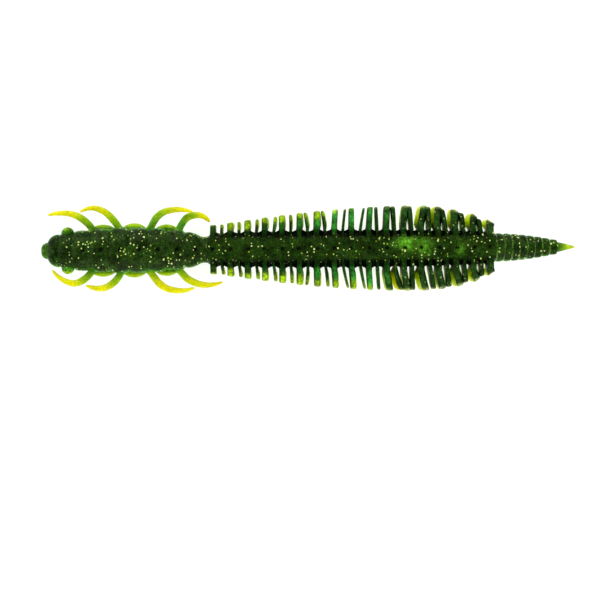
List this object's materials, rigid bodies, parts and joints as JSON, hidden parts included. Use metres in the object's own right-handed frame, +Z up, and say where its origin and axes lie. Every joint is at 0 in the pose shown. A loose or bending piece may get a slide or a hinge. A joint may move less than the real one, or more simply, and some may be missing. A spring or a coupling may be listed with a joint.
{
  "type": "soft plastic worm",
  "caption": "Two-colour soft plastic nymph worm with a blunt head, ringed thorax, tendril legs, ribbed flat abdomen and a pointed ringed tail; it bends at its grooves.",
  "frame": {"origin": "on the surface that the belly rests on, under the middle of the worm's length and width", "axes": "+X from the head to the tail, +Z up out of the back, so the worm's own right is +Y"},
  "size_m": [0.1, 0.0164, 0.0068],
  "materials": {
    "body_plastisol": "glossy translucent green plastisol with gold flake on the back, chartreuse underneath",
    "rib_plastisol": "glossy translucent green plastisol with gold flake on the back, yellow-green underneath",
    "leg_plastisol": "glossy translucent lime plastisol, yellow at the tips",
    "tip_plastisol": "glossy translucent lime plastisol with gold flake"
  },
  "bodies": {
    "front": {"head": "body_plastisol", "eye_right": "body_plastisol", "eye_left": "body_plastisol", "thorax_ring_1": "body_plastisol", "thorax_ring_2": "body_plastisol", "thorax_ring_3": "body_plastisol", "thorax_ring_4": "body_plastisol", "thorax_ring_5": "body_plastisol", "thorax_ring_6": "body_plastisol", "thorax_ring_7": "body_plastisol", "neck": "body_plastisol"},
    "leg_right_1": {"leg_right_1": "leg_plastisol"},
    "leg_right_2": {"leg_right_2": "leg_plastisol"},
    "leg_right_3": {"leg_right_3": "leg_plastisol"},
    "leg_right_4": {"leg_right_4": "leg_plastisol"},
    "leg_left_1": {"leg_left_1": "leg_plastisol"},
    "leg_left_2": {"leg_left_2": "leg_plastisol"},
    "leg_left_3": {"leg_left_3": "leg_plastisol"},
    "leg_left_4": {"leg_left_4": "leg_plastisol"},
    "abdomen_01": {"rib_ring_01": "rib_plastisol", "rib_web_01": "rib_plastisol"},
    "abdomen_02": {"rib_ring_02": "rib_plastisol", "rib_web_02": "rib_plastisol"},
    "abdomen_03": {"rib_ring_03": "rib_plastisol", "rib_web_03": "rib_plastisol"},
    "abdomen_04": {"rib_ring_04": "rib_plastisol", "rib_web_04": "rib_plastisol"},
    "abdomen_05": {"rib_ring_05": "rib_plastisol", "rib_web_05": "rib_plastisol"},
    "abdomen_06": {"rib_ring_06": "rib_plastisol", "rib_web_06": "rib_plastisol"},
    "abdomen_07": {"rib_ring_07": "rib_plastisol", "rib_web_07": "rib_plastisol"},
    "abdomen_08": {"rib_ring_08": "rib_plastisol", "rib_web_08": "rib_plastisol"},
    "abdomen_09": {"rib_ring_09": "rib_plastisol", "rib_web_09": "rib_plastisol"},
    "abdomen_10": {"rib_ring_10": "rib_plastisol", "rib_web_10": "rib_plastisol"},
    "abdomen_11": {"rib_ring_11": "rib_plastisol", "rib_web_11": "rib_plastisol"},
    "abdomen_12": {"rib_ring_12": "rib_plastisol", "rib_web_12": "rib_plastisol"},
    "abdomen_13": {"rib_ring_13": "rib_plastisol", "rib_web_13": "rib_plastisol"},
    "abdomen_14": {"rib_ring_14": "rib_plastisol", "rib_web_14": "rib_plastisol"},
    "abdomen_15": {"rib_ring_15": "rib_plastisol", "rib_web_15": "rib_plastisol"},
    "abdomen_16": {"rib_ring_16": "rib_plastisol", "rib_web_16": "rib_plastisol"},
    "abdomen_17": {"rib_ring_17": "rib_plastisol"},
    "tail_1": {"tail_link_1": "body_plastisol"},
    "tail_2": {"tail_link_2": "body_plastisol"},
    "tail_3": {"tail_link_3": "body_plastisol"},
    "tail_4": {"tail_link_4": "body_plastisol", "tail_tip": "tip_plastisol"}
  },
  "joints": [
    {"name": "neck_bend", "type": "hinge", "parent": "front", "child": "abdomen_01", "pos_m": [-0.01942, 0, 0.0033], "axis": [0, 0, 1], "range_deg": [-10, 10], "stiffness_Nm_per_rad": 0.003, "deforming": ["neck"]},
    {"name": "groove_01_bend", "type": "hinge", "parent": "abdomen_01", "child": "abdomen_02", "pos_m": [-0.01622, 0, 0.0033], "axis": [0, 1, 0], "range_deg": [-10, 10], "stiffness_Nm_per_rad": 0.003, "deforming": ["rib_web_01"]},
    {"name": "groove_02_bend", "type": "hinge", "parent": "abdomen_02", "child": "abdomen_03", "pos_m": [-0.01299, 0, 0.0033], "axis": [0, 0, 1], "range_deg": [-10, 10], "stiffness_Nm_per_rad": 0.003, "deforming": ["rib_web_02"]},
    {"name": "groove_03_bend", "type": "hinge", "parent": "abdomen_03", "child": "abdomen_04", "pos_m": [-0.00976, 0, 0.0033], "axis": [0, 1, 0], "range_deg": [-10, 10], "stiffness_Nm_per_rad": 0.003, "deforming": ["rib_web_03"]},
    {"name": "groove_04_bend", "type": "hinge", "parent": "abdomen_04", "child": "abdomen_05", "pos_m": [-0.00653, 0, 0.0033], "axis": [0, 0, 1], "range_deg": [-10, 10], "stiffness_Nm_per_rad": 0.003, "deforming": ["rib_web_04"]},
    {"name": "groove_05_bend", "type": "hinge", "parent": "abdomen_05", "child": "abdomen_06", "pos_m": [-0.0033, 0, 0.0033], "axis": [0, 1, 0], "range_deg": [-10, 10], "stiffness_Nm_per_rad": 0.003, "deforming": ["rib_web_05"]},
    {"name": "groove_06_bend", "type": "hinge", "parent": "abdomen_06", "child": "abdomen_07", "pos_m": [-0.00007, 0, 0.0033], "axis": [0, 0, 1], "range_deg": [-10, 10], "stiffness_Nm_per_rad": 0.003, "deforming": ["rib_web_06"]},
    {"name": "groove_07_bend", "type": "hinge", "parent": "abdomen_07", "child": "abdomen_08", "pos_m": [0.00316, 0, 0.0033], "axis": [0, 1, 0], "range_deg": [-10, 10], "stiffness_Nm_per_rad": 0.003, "deforming": ["rib_web_07"]},
    {"name": "groove_08_bend", "type": "hinge", "parent": "abdomen_08", "child": "abdomen_09", "pos_m": [0.00639, 0, 0.0033], "axis": [0, 0, 1], "range_deg": [-10, 10], "stiffness_Nm_per_rad": 0.003, "deforming": ["rib_web_08"]},
    {"name": "groove_09_bend", "type": "hinge", "parent": "abdomen_09", "child": "abdomen_10", "pos_m": [0.00962, 0, 0.0033], "axis": [0, 1, 0], "range_deg": [-10, 10], "stiffness_Nm_per_rad": 0.003, "deforming": ["rib_web_09"]},
    {"name": "groove_10_bend", "type": "hinge", "parent": "abdomen_10", "child": "abdomen_11", "pos_m": [0.01285, 0, 0.0033], "axis": [0, 0, 1], "range_deg": [-10, 10], "stiffness_Nm_per_rad": 0.003, "deforming": ["rib_web_10"]},
    {"name": "groove_11_bend", "type": "hinge", "parent": "abdomen_11", "child": "abdomen_12", "pos_m": [0.01608, 0, 0.0033], "axis": [0, 1, 0], "range_deg": [-10, 10], "stiffness_Nm_per_rad": 0.003, "deforming": ["rib_web_11"]},
    {"name": "groove_12_bend", "type": "hinge", "parent": "abdomen_12", "child": "abdomen_13", "pos_m": [0.01931, 0, 0.0033], "axis": [0, 0, 1], "range_deg": [-10, 10], "stiffness_Nm_per_rad": 0.003, "deforming": ["rib_web_12"]},
    {"name": "groove_13_bend", "type": "hinge", "parent": "abdomen_13", "child": "abdomen_14", "pos_m": [0.02254, 0, 0.0033], "axis": [0, 1, 0], "range_deg": [-10, 10], "stiffness_Nm_per_rad": 0.003, "deforming": ["rib_web_13"]},
    {"name": "groove_14_bend", "type": "hinge", "parent": "abdomen_14", "child": "abdomen_15", "pos_m": [0.02577, 0, 0.0033], "axis": [0, 0, 1], "range_deg": [-10, 10], "stiffness_Nm_per_rad": 0.003, "deforming": ["rib_web_14"]},
    {"name": "groove_15_bend", "type": "hinge", "parent": "abdomen_15", "child": "abdomen_16", "pos_m": [0.029, 0, 0.0033], "axis": [0, 1, 0], "range_deg": [-10, 10], "stiffness_Nm_per_rad": 0.003, "deforming": ["rib_web_15"]},
    {"name": "groove_16_bend", "type": "hinge", "parent": "abdomen_16", "child": "abdomen_17", "pos_m": [0.03223, 0, 0.0033], "axis": [0, 0, 1], "range_deg": [-10, 10], "stiffness_Nm_per_rad": 0.003, "deforming": ["rib_web_16"]},
    {"name": "tail_bend_1", "type": "hinge", "parent": "abdomen_17", "child": "tail_1", "pos_m": [0.0351, 0, 0.0033], "axis": [0, 1, 0], "range_deg": [-15, 15], "stiffness_Nm_per_rad": 0.001},
    {"name": "tail_bend_2", "type": "hinge", "parent": "tail_1", "child": "tail_2", "pos_m": [0.03809, 0, 0.0033], "axis": [0, 0, 1], "range_deg": [-15, 15], "stiffness_Nm_per_rad": 0.0005},
    {"name": "tail_bend_3", "type": "hinge", "parent": "tail_2", "child": "tail_3", "pos_m": [0.04093, 0, 0.0033], "axis": [0, 1, 0], "range_deg": [-15, 15], "stiffness_Nm_per_rad": 0.00025},
    {"name": "tail_bend_4", "type": "hinge", "parent": "tail_3", "child": "tail_4", "pos_m": [0.04377, 0, 0.0033], "axis": [0, 0, 1], "range_deg": [-15, 15], "stiffness_Nm_per_rad": 0.0001},
    {"name": "leg_right_1_flap", "type": "hinge", "parent": "front", "child": "leg_right_1", "pos_m": [-0.0407, 0.00405, 0.0035], "axis": [1, 0, 0], "range_deg": [-35, 35], "stiffness_Nm_per_rad": 0.00001},
    {"name": "leg_right_2_flap", "type": "hinge", "parent": "front", "child": "leg_right_2", "pos_m": [-0.0355, 0.00445, 0.0035], "axis": [1, 0, 0], "range_deg": [-35, 35], "stiffness_Nm_per_rad": 0.00001},
    {"name": "leg_right_3_flap", "type": "hinge", "parent": "front", "child": "leg_right_3", "pos_m": [-0.0292, 0.0043, 0.0035], "axis": [1, 0, 0], "range_deg": [-35, 35], "stiffness_Nm_per_rad": 0.00001},
    {"name": "leg_right_4_flap", "type": "hinge", "parent": "front", "child": "leg_right_4", "pos_m": [-0.0238, 0.00395, 0.0035], "axis": [1, 0, 0], "range_deg": [-35, 35], "stiffness_Nm_per_rad": 0.00001},
    {"name": "leg_left_1_flap", "type": "hinge", "parent": "front", "child": "leg_left_1", "pos_m": [-0.0406, -0.00405, 0.0035], "axis": [-1, 0, 0], "range_deg": [-35, 35], "stiffness_Nm_per_rad": 0.00001},
    {"name": "leg_left_2_flap", "type": "hinge", "parent": "front", "child": "leg_left_2", "pos_m": [-0.0354, -0.00445, 0.0035], "axis": [-1, 0, 0], "range_deg": [-35, 35], "stiffness_Nm_per_rad": 0.00001},
    {"name": "leg_left_3_flap", "type": "hinge", "parent": "front", "child": "leg_left_3", "pos_m": [-0.0293, -0.0043, 0.0035], "axis": [-1, 0, 0], "range_deg": [-35, 35], "stiffness_Nm_per_rad": 0.00001},
    {"name": "leg_left_4_flap", "type": "hinge", "parent": "front", "child": "leg_left_4", "pos_m": [-0.0237, -0.00395, 0.0035], "axis": [-1, 0, 0], "range_deg": [-35, 35], "stiffness_Nm_per_rad": 0.00001}
  ]
}
